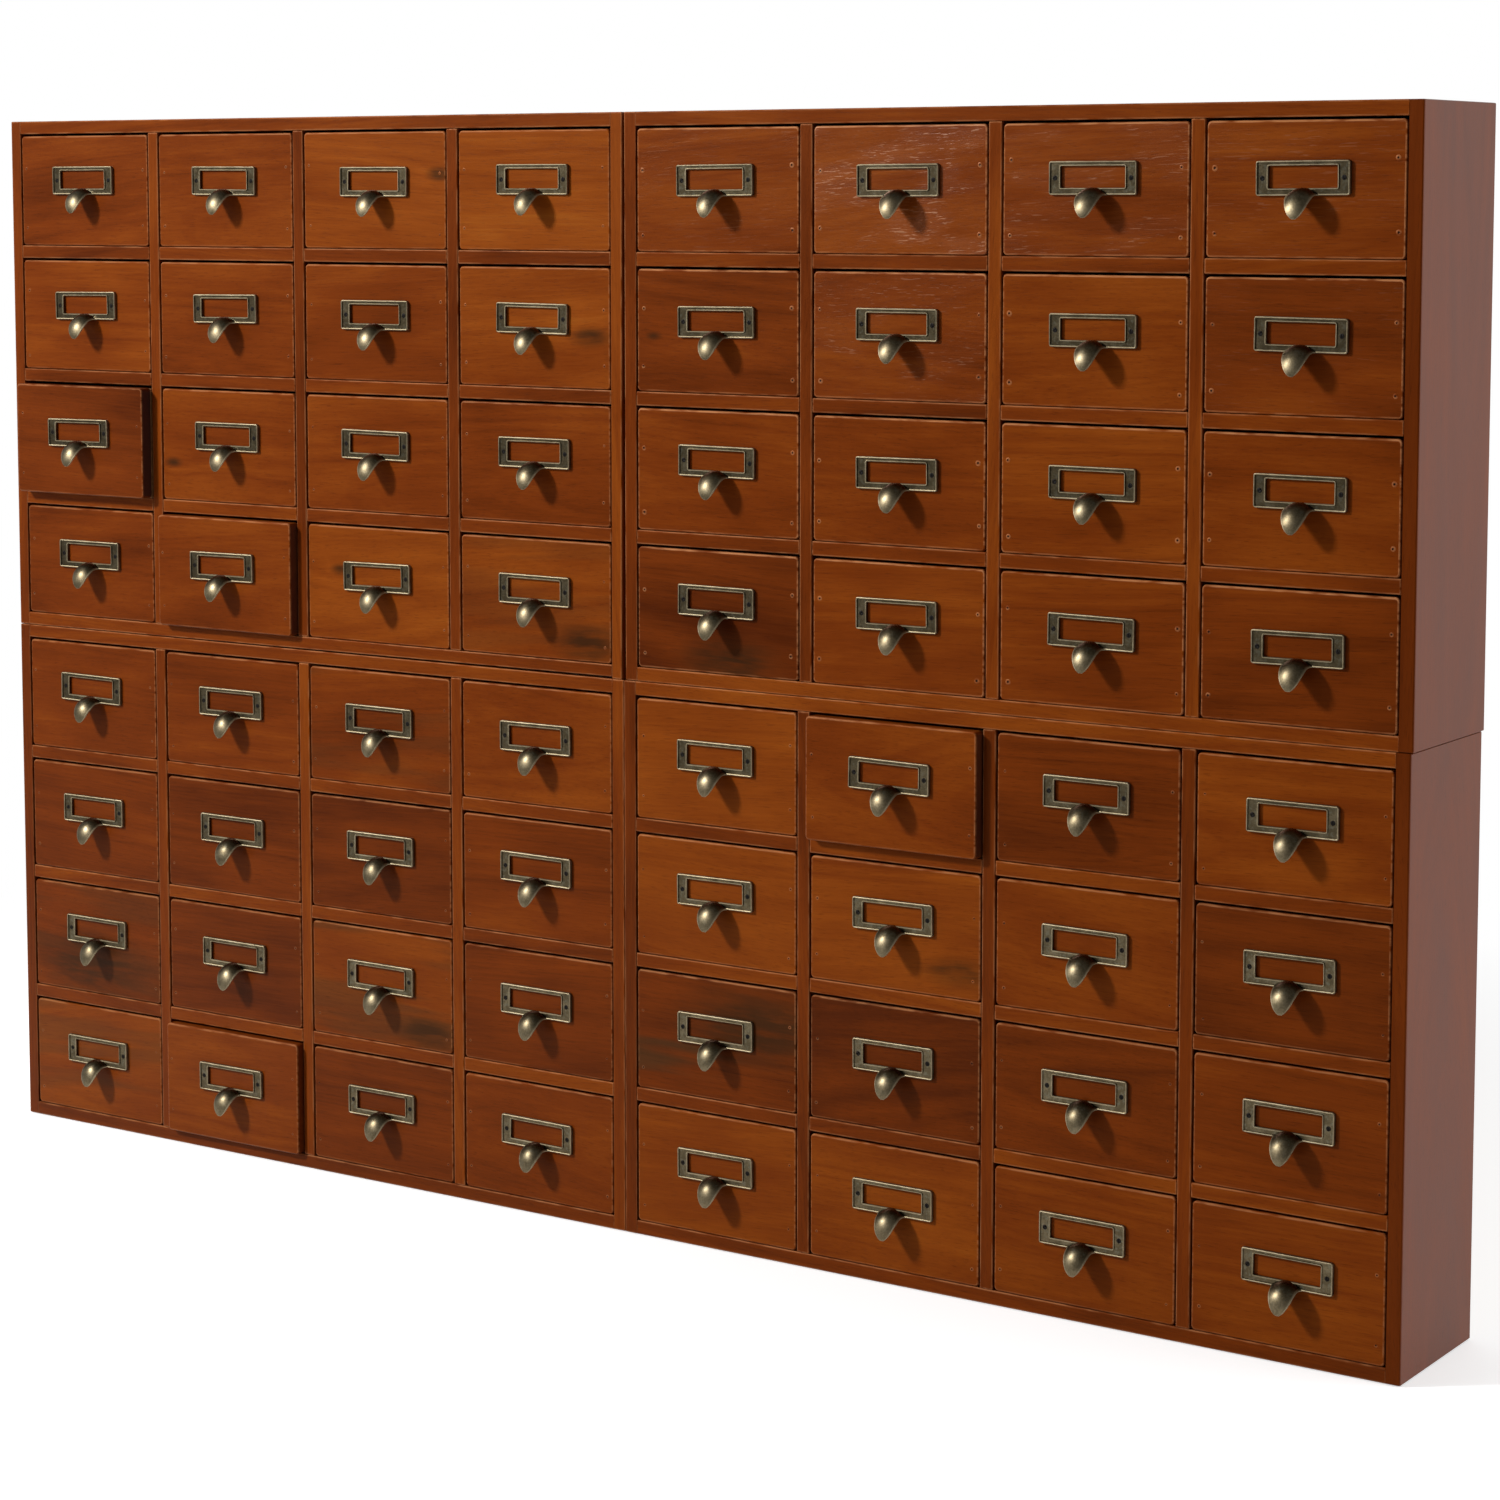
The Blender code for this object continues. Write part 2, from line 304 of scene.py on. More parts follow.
def board(piece, low, high, radius, rng, along, outward, stain, **how):
    """A board with rounded arrises. how may name slot and warp, rounder and jointed sides as
    (axis, side), and worn: how much of the stain has rubbed off the arrises."""
    low, high = Vector(low), Vector(high)
    radii = [[radius, radius] for axis in range(3)]
    for axis, side in how.get("rounder", ()):
        radii[axis][side] = CORNER_ROUND
    for axis, side in how.get("jointed", ()):
        radii[axis][side] = JOINT_ROUND
    inner_low = low + Vector([pair[0] for pair in radii])
    inner_high = high - Vector([pair[1] for pair in radii])
    middle = (low + high) / 2
    trunk = sawn(rng, middle, along, outward)
    worn = how.get("worn", 1.0)
    lines = []
    for axis in range(3):
        band = min(WEAR_BAND, (inner_high[axis] - inner_low[axis]) / 3)
        lines.append(
            [
                low[axis],
                low[axis] + radii[axis][0] * ARRIS_MIDDLE_SHARE,
                inner_low[axis],
                inner_low[axis] + band,
                inner_high[axis] - band,
                inner_high[axis],
                high[axis] - radii[axis][1] * ARRIS_MIDDLE_SHARE,
                high[axis],
            ]
        )
    last = len(lines[0]) - 1
    found, points, normals, wear, faces = {}, [], [], [], []

    def corner(key):
        if key not in found:
            found[key] = len(points)
            sharp = Vector([lines[axis][key[axis]] for axis in range(3)])
            core = Vector(
                [min(max(sharp[axis], inner_low[axis]), inner_high[axis]) for axis in range(3)]
            )
            reach = Vector([radii[axis][key[axis] > last / 2] for axis in range(3)])
            spoke = Vector([(sharp[axis] - core[axis]) / reach[axis] for axis in range(3)])
            spoke.normalize()
            points.append(core + spoke * reach)
            normals.append(Vector([spoke[axis] / reach[axis] for axis in range(3)]).normalized())
            depth = sorted(min(k, last - k) for k in key)[1]
            rubbed = worn * (1.0 if depth <= 1 else NEAR_ARRIS_WEAR if depth == 2 else 0.0)
            wear.append((rubbed, 0.0, 0.0))
        return found[key]

    for axis in range(3):
        b, c = (axis + 1) % 3, (axis + 2) % 3
        for side in (0, last):
            for i in range(last):
                for j in range(last):
                    quad = []
                    for di, dj in ((0, 0), (1, 0), (1, 1), (0, 1)):
                        key = [0, 0, 0]
                        key[axis], key[b], key[c] = side, i + di, j + dj
                        quad.append(corner(tuple(key)))
                    faces.append(quad if side else quad[::-1])
    grain = [trunk(p) for p in points]
    if "warp" in how:
        points = [how["warp"](p) for p in points]
    piece.add(
        points,
        normals,
        faces,
        how.get("slot", 0),
        grain=grain,
        stain=[stain] * len(points),
        knot=[NO_KNOT] * len(points),
        wear=wear,
    )
    return trunk


def rounded_slab(piece, at, rng, stain, knot, worn, end_soak_and_shade):
    """A drawer's front board, whose arrises and corners are sanded round."""
    half = DRAWER_WIDTH / 2
    trunk = sawn(rng, at + Vector((0, DRAWER_FRONT / 2, DRAWER_HEIGHT / 2)), RIGHT, FRONT)
    rings = [(TRAY_ROUND, DRAWER_FRONT, -1.0, 0.0), (0.0, DRAWER_FRONT - TRAY_ROUND, 0.0, 0.0)]
    rings.append((0.0, FRONT_ROUND + WEAR_BAND, 0.0, FRONT_NEAR_WEAR))
    for step in range(FRONT_ARRIS_STEPS + 1):
        tilt = pi / 2 * step / FRONT_ARRIS_STEPS
        inset, depth = FRONT_ROUND * (1 - cos(tilt)), FRONT_ROUND * (1 - sin(tilt))
        rings.append((inset, depth, sin(tilt), 1.0))
    rings.append((FRONT_ROUND + WEAR_BAND, 0.0, 1.0, 0.0))
    points, normals, wear, faces = [], [], [], []
    for inset, depth, facing, rubbed in rings:
        radius = FRONT_CORNER - inset
        ring = rounded_ring(half - inset, inset, DRAWER_HEIGHT - inset, radius, -depth)
        heart_x, heart_z = half - FRONT_CORNER, DRAWER_HEIGHT / 2 - FRONT_CORNER
        for x, y, z in ring:
            over = Vector((x, 0, z - DRAWER_HEIGHT / 2))
            core = Vector((min(max(x, -heart_x), heart_x), 0, min(max(over.z, -heart_z), heart_z)))
            spoke = (over - core).normalized()
            normal = (spoke * sqrt(1 - facing * facing) + FRONT * facing).normalized()
            points.append(at + Vector((x, y, z)))
            normals.append(normal)
            # End grain that soaked up stain is darker; on two listed fronts this also paints shade and
            # light on their pulled-out ends
            soaked_and_shaded = end_soak_and_shade * max(0.0, abs(normal.x) - END_GRAIN_FROM) / (1 - END_GRAIN_FROM)
            # Real wear on every arris, with painted highlight added on the upper and right ones
            share = WORN_ANYWHERE + PAINTED_HIGHLIGHT_ABOVE * max(0.0, spoke.z) + PAINTED_HIGHLIGHT_RIGHT * max(0.0, spoke.x)
            wear.append((rubbed * worn * share, 0.0, soaked_and_shaded))
    count = len(ring)
    for r in range(len(rings) - 1):
        a, b = r * count, (r + 1) * count
        for i in range(count):
            j = (i + 1) % count
            faces.append([a + i, a + j, b + j, b + i])
    faces.append(list(range(count))[::-1])
    faces.append(list(range(len(points) - count, len(points))))
    foot = at + UP * DRAWER_HEIGHT / 2
    knot_x, knot_z, knot_size = knot or NO_KNOT
    piece.add(
        points,
        normals,
        faces,
        0,
        grain=[trunk(p) for p in points],
        stain=[stain] * len(points),
        knot=[(p.x - foot.x - knot_x, p.z - foot.z - knot_z, knot_size) for p in points],
        wear=wear,
    )
    return trunk


def disc(piece, centre, outward, profile, slot, trunk, stain, dark_from, worn=1.0):
    """A round low shape on a face: profile lists (radius, rise) from its foot to its middle. From the
    step dark_from on it is dark."""
    side = RIGHT
    up = outward.cross(side)
    points, normals, faces, wear = [], [], [], []
    steps = len(profile)
    for step, (radius, rise) in enumerate(profile):
        ahead = profile[min(step + 1, steps - 1)]
        behind = profile[max(step - 1, 0)]
        run, climb = behind[0] - ahead[0], ahead[1] - behind[1]
        tilt = climb / max(sqrt(run * run + climb * climb), 1e-9)
        for i in range(NAIL_SIDES):
            angle = 2 * pi * i / NAIL_SIDES
            spoke = side * cos(angle) + up * sin(angle)
            points.append(centre + spoke * radius + outward * rise)
            normals.append((outward + spoke * tilt).normalized())
            dark = 1.0 if step >= dark_from else 0.0
            wear.append((NAIL_RUB * worn * (1 - dark), dark, 0.0))
    for step in range(steps - 1):
        for i in range(NAIL_SIDES):
            j = (i + 1) % NAIL_SIDES
            a, b = step * NAIL_SIDES, (step + 1) * NAIL_SIDES
            faces.append([a + i, a + j, b + j, b + i])
    faces.append([(steps - 1) * NAIL_SIDES + i for i in range(NAIL_SIDES)])
    count = len(points)
    piece.add(
        points,
        normals,
        faces,
        slot,
        grain=[trunk(p) for p in points],
        stain=[stain] * count,
        knot=[NO_KNOT] * count,
        wear=wear,
    )


def rounded_ring(half_width, low, high, radius, stand):
    """Points of a rounded rectangle that stands off the drawer front, counterclockwise from -Y."""
    steps = CORNER_STEPS
    points = []
    for quarter, (x, z) in enumerate(((1, 0), (1, 1), (-1, 1), (-1, 0))):
        middle_x = x * (half_width - radius)
        middle_z = high - radius if z else low + radius
        for i in range(steps + 1):
            angle = pi / 2 * (quarter - 1 + i / steps)
            points.append((middle_x + radius * cos(angle), -stand, middle_z + radius * sin(angle)))
    return points


def label_frame():
    """Points, faces and rim wear of the label frame: rings from its foot over the rims and back."""
    half = FRAME_WIDTH / 2
    window = half - FRAME_END_BAR
    window_top = FRAME_HEIGHT - FRAME_TOP_BAR
    rings, wear = [], []

    def outer_ring(inset, stand, rubbed):
        edge = (half - inset, inset, FRAME_HEIGHT - inset, FRAME_CORNER - inset)
        rings.append(rounded_ring(*edge, stand))
        wear.append(rubbed)

    def window_ring(grown, stand, rubbed):
        edge = (window + grown, FRAME_BOTTOM_BAR - grown, window_top + grown, WINDOW_CORNER + grown)
        rings.append(rounded_ring(*edge, stand))
        wear.append(rubbed)

    for share, rise, rubbed in OUTER_RIM_SHARES:
        outer_ring(RIM_WIDTH * share, RIM_STAND * rise, rubbed)
    outer_ring(RIM_WIDTH, FIELD_STAND, 0.0)
    window_ring(WINDOW_RIM_WIDTH, FIELD_STAND, 0.0)
    for share, rise, rubbed in WINDOW_RIM_SHARES:
        window_ring(WINDOW_RIM_WIDTH * share, WINDOW_RIM_STAND * rise, rubbed)
    count = len(rings[0])
    faces = []
    for r in range(len(rings)):
        a, b = r * count, (r + 1) % len(rings) * count
        for i in range(count):
            j = (i + 1) % count
            faces.append([a + i, a + j, b + j, b + i])
    points = [point for ring in rings for point in ring]
    return points, faces, [value for value in wear for _ in range(count)]


def tongue_point(along, across):
    """A point of the tongue's outer face: along runs from 0 at the root to 1 at the tip, and across
    from -1 to 1 between its edges."""
    turned = along * TONGUE_TURN
    out = TONGUE_REACH * sin(turned)
    down = TONGUE_DROP * (1 - cos(turned)) / (1 - cos(TONGUE_TURN))
    narrowed = (1 - along**TONGUE_SHOULDER) ** (1 / TONGUE_POINT)
    flare = TONGUE_FLARE * max(0.0, 1 - along / TONGUE_FLARE_SHARE) ** 2
    half_width = TONGUE_WIDTH / 2 * narrowed + flare
    crown = TONGUE_CROWN * (1 - TONGUE_FLATTENING * along)
    inward = crown * (narrowed * across) ** 2
    return Vector(
        (
            half_width * across,
            -(RIM_STAND - TONGUE_SUNK + out - inward * sin(turned)),
            TONGUE_ROOT_RISE - down - inward * cos(turned),
        )
    )


def finger_tongue():
    """Points, faces and edge wear of the tongue: its outer face, a rounded rim and its inner face."""
    rows, columns = TONGUE_STEPS
    small = 1e-4
    outer, inner, wear = [], [], []
    for i in range(rows + 1):
        sunk = REAR * (0.0 if i else TONGUE_ROOT_SUNK)
        along = TONGUE_END_SHARE * (1 - (1 - max(0, i - 1) / (rows - 1)) ** TONGUE_EASE)
        share = min(1.0, max(0.0, along - TONGUE_WEAR_FROM) / TONGUE_WEAR_OVER)
        for j in range(columns + 1):
            across = 2 * j / columns - 1
            point = tongue_point(along, across)
            step_b = min(across, 1 - small)
            by_along = tongue_point(along + small, across) - point
            by_across = tongue_point(along, step_b + small) - tongue_point(along, step_b)
            normal = by_along.cross(by_across).normalized()
            outer.append(point + sunk)
            inner.append(point + sunk - normal * TONGUE_SHEET)
            at_edge = i and (abs(across) > TONGUE_EDGE or i == rows)
            wear.append(1.0 if at_edge else TONGUE_ROOT_DARKENING + TONGUE_MORE_WEAR * share)

    def at(i, j):
        return i * (columns + 1) + j

    rim = [at(i, 0) for i in range(rows)] + [at(rows, j) for j in range(columns)]
    rim += [at(rows - i, columns) for i in range(rows + 1)]
    count = len(outer)
    points = outer + inner
    faces = []
    for i in range(rows):
        for j in range(columns):
            quad = [at(i, j), at(i + 1, j), at(i + 1, j + 1), at(i, j + 1)]
            faces.append(quad[::-1])
            faces.append([count + k for k in quad])
    first = len(points)
    for k in rim:
        i, j = divmod(k, columns + 1)
        inside = at(min(i, rows - 1), min(max(j, 1), columns - 1))
        outward = (outer[k] - outer[inside]).normalized()
        points.append((outer[k] + inner[k]) / 2 + outward * TONGUE_SHEET * TONGUE_RIM_SHARE)
    wear = wear + [TONGUE_INNER_WEAR] * count + [1.0] * len(rim)
    for n in range(len(rim) - 1):
        a, b = rim[n], rim[n + 1]
        faces.append([a, b, first + n + 1, first + n])
        faces.append([first + n, first + n + 1, count + b, count + a])
    root = [at(0, j) for j in range(columns + 1)]
    for a, b in zip(root, root[1:]):
        faces.append([a, b, count + b, count + a])
    return points, faces, wear


def screw_head(x, turn):
    """Points and faces of a low round screw head with a slot, on the label frame's field."""
    sides, steps = SCREW_SIDES, SCREW_STEPS
    points, faces = [], []
    for step in range(steps):
        tilt = pi / 2 * step / (steps - 1)
        for i in range(sides):
            angle = 2 * pi * i / sides
            px = SCREW_RADIUS * cos(tilt) * cos(angle)
            pz = SCREW_RADIUS * cos(tilt) * sin(angle)
            rise = FIELD_STAND + SCREW_RISE * sin(tilt) - SCREW_SUNK
            if abs(px * sin(turn) - pz * cos(turn)) < SCREW_SLOT and step:
                rise = FIELD_STAND
            points.append((x + px, -rise, FRAME_HEIGHT / 2 + pz))
    for step in range(steps - 1):
        for i in range(sides):
            j = (i + 1) % sides
            a, b = step * sides, (step + 1) * sides
            faces.append([a + i, a + j, b + j, b + i])
    return points, faces


def pull_mesh(brass, screw_metal):
    """The mesh that all pulls share, with its origin on the drawer front at the frame's foot."""
    points, faces, wear = label_frame()
    more, sides, rubbed = finger_tongue()
    faces += [[len(points) + i for i in face] for face in sides]
    points += [tuple(p) for p in more]
    wear += rubbed
    slots = [0] * len(faces)
    reach = FRAME_WIDTH / 2 - SCREW_FROM_END
    for x, turn in zip((-reach, reach), SCREW_TURNS):
        more, sides = screw_head(x, turn)
        faces += [[len(points) + i for i in face] for face in sides]
        points += more
        wear += [0.0] * len(more)
        slots += [1] * len(sides)
    mesh = bpy.data.meshes.new("pull")
    mesh.from_pydata(points, [], faces)
    mesh.materials.append(brass)
    mesh.materials.append(screw_metal)
    mesh.polygons.foreach_set("material_index", slots)
    layer = mesh.attributes.new("wear", "FLOAT_VECTOR", "POINT")
    layer.data.foreach_set("vector", [x for value in wear for x in (value, 0.0, 0.0)])
    mesh.shade_smooth()
    mesh.set_sharp_from_angle(angle=radians(40))
    return mesh


class Nodes:
    """The node tree of a material or world, with short calls for the nodes it needs."""

    def __init__(self, made, shader="Principled BSDF"):
        made.use_nodes = True
        self.made = made
        self.tree = made.node_tree
        self.shader = self.tree.nodes[shader]

    def add(self, kind, *inputs, **settings):
        node = self.tree.nodes.new(kind)
        for key, value in settings.items():
            setattr(node, key, value)
        for socket, value in inputs:
            self.give(node, socket, value)
        return node

    def give(self, node, socket, value):
        if isinstance(value, bpy.types.NodeSocket):
            self.tree.links.new(value, node.inputs[socket])
        else:
            node.inputs[socket].default_value = value

    def set(self, socket, value):
        self.give(self.shader, socket, value)

    def attribute(self, name):
        return self.add("ShaderNodeAttribute", attribute_name=name).outputs["Vector"]

    def parts(self, vector):
        return self.add("ShaderNodeSeparateXYZ", (0, vector)).outputs

    def math(self, operation, a, b=0.0, c=0.0, clamp=False):
        node = self.add("ShaderNodeMath", (0, a), (1, b), operation=operation, use_clamp=clamp)
        self.give(node, 2, c)
        return node.outputs[0]

    def scaled(self, vector, by):
        node = self.add("ShaderNodeVectorMath", (0, vector), (1, by), operation="MULTIPLY")
        return node.outputs["Vector"]

    def length(self, vector):
        return self.add("ShaderNodeVectorMath", (0, vector), operation="LENGTH").outputs["Value"]

    def noise(self, vector, detail=2.0, roughness=0.5, distortion=0.0):
        node = self.add(
            "ShaderNodeTexNoise",
            ("Vector", vector),
            ("Scale", 1.0),
            ("Detail", detail),
            ("Roughness", roughness),
            ("Distortion", distortion),
        )
        return node.outputs["Fac"]

    def line_noise(self, place, detail=1.0):
        node = self.add("ShaderNodeTexNoise", noise_dimensions="1D")
        self.give(node, "W", place)
        self.give(node, "Scale", 1.0)
        self.give(node, "Detail", detail)
        return node.outputs["Fac"]

    def spread(self, value, amount):
        """A noise's value about its middle, times amount."""
        return self.math("MULTIPLY_ADD", value, amount, -amount / 2)

    def between(self, value, low, high, to_low=0.0, to_high=1.0):
        """A smooth step: value at low gives to_low and at high to_high."""
        node = self.add("ShaderNodeMapRange", (0, value), interpolation_type="SMOOTHSTEP")
        for socket, number in zip(range(1, 5), (low, high, to_low, to_high)):
            self.give(node, socket, number)
        return node.outputs[0]

    def ramp(self, value, *stops):
        node = self.add("ShaderNodeValToRGB", (0, value))
        elements = node.color_ramp.elements
        while len(elements) < len(stops):
            elements.new(1.0)
        for element, (place, colour) in zip(elements, stops):
            element.position = place
            element.color = (*colour, 1.0)
        return node.outputs["Color"]

    def mix(self, factor, a, b, blend="MIX"):
        node = self.add("ShaderNodeMix", data_type="RGBA", blend_type=blend)
        sockets = {s.identifier: s for s in node.inputs}
        pairs = (("Factor_Float", factor), ("A_Color", a), ("B_Color", b))
        for identifier, value in pairs:
            if isinstance(value, bpy.types.NodeSocket):
                self.tree.links.new(value, sockets[identifier])
            elif isinstance(value, tuple):
                sockets[identifier].default_value = (*value, 1.0)
            else:
                sockets[identifier].default_value = value
        return next(s for s in node.outputs if s.identifier == "Result_Color")

    def bump(self, height, strength, distance):
        node = self.add("ShaderNodeBump", ("Height", height))
        self.give(node, "Strength", strength)
        self.give(node, "Distance", distance)
        self.set("Normal", node.outputs["Normal"])


# Linear colours of the stained wood, from the darkest late wood to the lightest
STAIN_COLOURS = (
    (0.00, (0.026, 0.0048, 0.0008)),
    (0.25, (0.080, 0.0130, 0.0014)),
    (0.50, (0.172, 0.0310, 0.0026)),
    (0.72, (0.262, 0.0580, 0.0045)),
    (1.00, (0.400, 0.1240, 0.0120)),
)
TRAY_COLOURS = (
    (0.00, (0.070, 0.0260, 0.0110)),
    (0.30, (0.170, 0.0700, 0.0260)),
    (0.60, (0.290, 0.1400, 0.0580)),
    (1.00, (0.450, 0.2600, 0.1250)),
)
PLY_COLOURS = (
    (0.00, (0.150, 0.0800, 0.0400)),
    (0.40, (0.300, 0.1800, 0.0950)),
    (0.70, (0.430, 0.2900, 0.1650)),
    (1.00, (0.560, 0.4100, 0.2600)),
)
# Light colour of rubbed arrises; on the fronts' upper and right arrises it is also painted highlight
RUBBED_AND_HIGHLIGHT_COLOUR = (0.62, 0.27, 0.11)
# Painted highlight: the light colour of the lines on scratched lacquer
SCRATCH_HIGHLIGHT_COLOUR = (0.72, 0.42, 0.25)
STREAK_COLOUR = (0.050, 0.028, 0.010)
KNOT_COLOUR = (0.026, 0.012, 0.004)
PORE_COLOUR = (0.30, 0.22, 0.20)
END_COLOUR = (0.050, 0.024, 0.020)
HOLE_COLOUR = (0.006, 0.004, 0.004)
LACQUER_TINT = (1.0, 0.36, 0.12)
SIDE_TINT = (1.0, 0.70, 0.60)
SIDE_SHINE = 0.52
SIDE_ROUGHNESS = 0.50
# Painted light: how much the tone rises where an outer side board looks to the right
SIDE_PAINTED_LIGHT = 0.08
SIDEWAYS = (0.5, 0.95)
GLOSS_TINT = (1.0, 0.58, 0.42)
GLOSSIER = 0.32

# Marks of the wood, in changes to the metre along the grain and twice across it
WANDER, FINE_WANDER = (5.0, 24.0, 24.0), (30.0, 160.0, 160.0)
CLOUD, FIBRE, PORE = (7.0, 24.0, 24.0), (26.0, 620.0, 620.0), (85.0, 1900.0, 1900.0)
SCRATCH, PATCH, STREAK = (62.0, 950.0, 950.0), (16.0, 40.0, 40.0), (4.0, 52.0, 52.0)
SMOKE, RUB, PEEL = (22.0, 150.0, 150.0), (60.0, 300.0, 300.0), (260.0, 420.0, 420.0)
RINGS, LATE_RINGS, LATE_START = 210.0, 420.0, 17.0
# How far the rings wander, and bend round a knot, in metres and square metres
WANDER_REACH, FINE_WANDER_REACH, KNOT_WANDER_REACH = 0.014, 0.0012, 0.002
KNOT_STRETCH = (0.6, 1.4, 0.0)
KNOT_BEND, KNOT_CORE = 0.0000030, 0.0003
# What each mark adds to the tone, which is a place on the ramp of colours
TONE, SHADE_TONE, RING_TONE, LATE_TONE, CLOUD_TONE, FIBRE_TONE = 0.50, 0.24, 0.20, -0.045, 0.64, 0.28
# How much of each colour lies over the stain where its mark is full
STREAK_COVER, PORE_COVER, KNOT_COVER = 0.85, 0.35, 0.85
RUBBED_AND_HIGHLIGHT_COVER, SCRATCH_HIGHLIGHT_COVER, END_COVER = 0.62, 0.32, 0.88
# How deep the marks are that only bump shows
WOOD_DEPTH, BRASS_DEPTH, STEEL_DEPTH = 0.00030, 0.00015, 0.00010


def wood(name, colours, roughness, shine, relief, figure=1.0, lacquer="even"):
    """Wood that is cut from a trunk: growth rings, fibres, pores and clouds of stain. figure is how
    strongly the rings and fibres show. The lacquer is even; or scratched, so that it shines in lines,
    whose light colour is also a painted highlight; or thin on a broad face that looks to the right,
    where its tone is lifted as painted light."""
    n = Nodes(bpy.data.materials.new(name))
    grain = n.attribute("grain")
    shade, streak, lines = n.parts(n.attribute("stain"))
    rubbed, hole, end_grain_and_shade = n.parts(n.attribute("wear"))
    knot_way = n.attribute("knot")
    knot_size = n.parts(knot_way)[2]

    def marks(scale, *how):
        return n.noise(n.scaled(grain, scale), *how)

    wander, fine_wander = marks(WANDER, 2.0), marks(FINE_WANDER, 1.0)
    from_knot = n.length(n.scaled(knot_way, KNOT_STRETCH))
    from_knot = n.math("MULTIPLY_ADD", fine_wander, KNOT_WANDER_REACH, from_knot)
    round_knot = n.math("MULTIPLY_ADD", from_knot, from_knot, KNOT_CORE)
    round_knot = n.math("DIVIDE", KNOT_BEND, round_knot)
    radius = n.length(n.scaled(grain, (0.0, 1.0, 1.0)))
    radius = n.math("MULTIPLY_ADD", wander, WANDER_REACH, radius)
    radius = n.math("MULTIPLY_ADD", fine_wander, FINE_WANDER_REACH, radius)
    radius = n.math("ADD", radius, round_knot)
    ring = n.line_noise(n.math("MULTIPLY", radius, RINGS), 1.5)
    late = n.line_noise(n.math("MULTIPLY_ADD", radius, LATE_RINGS, LATE_START), 0.0)
    late = n.between(late, 0.56, 0.70)
    cloud = marks(CLOUD, 2.0, 0.55)
    fibre = marks(FIBRE, 3.0, 0.62)
    pore = n.between(marks(PORE, 1.0), 0.60, 0.70)

    tone = n.math("MULTIPLY_ADD", late, LATE_TONE, n.spread(ring, RING_TONE))
    tone = n.math("ADD", tone, n.spread(cloud, CLOUD_TONE))
    tone = n.math("ADD", tone, n.spread(fibre, FIBRE_TONE))
    tone = n.math("MULTIPLY_ADD", tone, figure, n.math("MULTIPLY_ADD", shade, SHADE_TONE, TONE))
    if lacquer == "thin":
        sideways = n.parts(n.add("ShaderNodeNewGeometry").outputs["Normal"])[0]
        sideways = n.between(sideways, *SIDEWAYS)
        # Painted light: faces that look to the right get a lighter tone
        tone = n.math("MULTIPLY_ADD", sideways, SIDE_PAINTED_LIGHT, tone)
    colour = n.ramp(tone, *colours)

    band = n.math("MULTIPLY", n.between(marks(STREAK, 2.0), 0.47, 0.60), streak)
    colour = n.mix(n.math("MULTIPLY", band, STREAK_COVER), colour, STREAK_COLOUR)
    colour = n.mix(n.math("MULTIPLY", pore, PORE_COVER), colour, PORE_COLOUR, "MULTIPLY")
    heart = n.between(n.math("DIVIDE", from_knot, knot_size), 1.15, 0.25)
    thinnest = n.between(knot_size, 0.006, 0.016, 0.8, 0.5)
    smoky = n.between(marks(SMOKE, 3.0, 0.6), 0.36, 0.60, thinnest, 1.0)
    dark = n.math("MULTIPLY", heart, n.math("MULTIPLY", smoky, KNOT_COVER))
    colour = n.mix(dark, colour, KNOT_COLOUR)
    # Rubbed arrises: real wear, and on the fronts' upper and right arrises painted highlight
    rub_and_highlight = n.math("MULTIPLY", rubbed, n.between(marks(RUB, 2.0), 0.30, 0.62))
    colour = n.mix(n.math("MULTIPLY", rub_and_highlight, RUBBED_AND_HIGHLIGHT_COVER), colour, RUBBED_AND_HIGHLIGHT_COLOUR)

    rough = n.math("ADD", n.spread(cloud, 0.16 * figure), roughness)
    rough = n.math("ADD", n.spread(fibre, 0.12 * figure), rough)
    rough = n.math("MULTIPLY_ADD", rubbed, 0.10, rough)
    rough = n.math("MULTIPLY_ADD", end_grain_and_shade, 0.20, rough, clamp=True)
    height = n.math("MULTIPLY_ADD", fibre, 0.5, n.math("MULTIPLY", marks(PEEL, 1.0), 0.35))
    height = n.math("MULTIPLY_ADD", pore, -0.25, height)
    tint = LACQUER_TINT
    if lacquer == "thin":
        rough = n.math("MULTIPLY_ADD", sideways, SIDE_ROUGHNESS - roughness, rough)
        shine = n.math("MULTIPLY_ADD", sideways, SIDE_SHINE - shine, shine)
        tint = n.mix(sideways, LACQUER_TINT, SIDE_TINT)
    if lacquer == "scratched":
        patch = n.between(marks(PATCH, 1.0), 0.42, 0.60)
        scratch_and_highlight = n.between(marks(SCRATCH, 2.0, 0.5, 0.6), 0.61, 0.68)
        scratch_and_highlight = n.math("MULTIPLY", scratch_and_highlight, n.math("MULTIPLY", patch, lines))
        sheen = n.math("MULTIPLY", n.between(patch, 0.0, 1.0, 0.45, 1.0), lines)
        # Painted highlight: the scratch lines are lightened in colour where they would catch the light
        colour = n.mix(n.math("MULTIPLY", scratch_and_highlight, SCRATCH_HIGHLIGHT_COVER), colour, SCRATCH_HIGHLIGHT_COLOUR)
        rough = n.math("MULTIPLY_ADD", lines, -0.06, rough)
        shine = n.math("MULTIPLY_ADD", sheen, GLOSSIER, shine)
        tint = n.mix(sheen, LACQUER_TINT, GLOSS_TINT)
        height = n.math("MULTIPLY_ADD", scratch_and_highlight, 0.4, height)
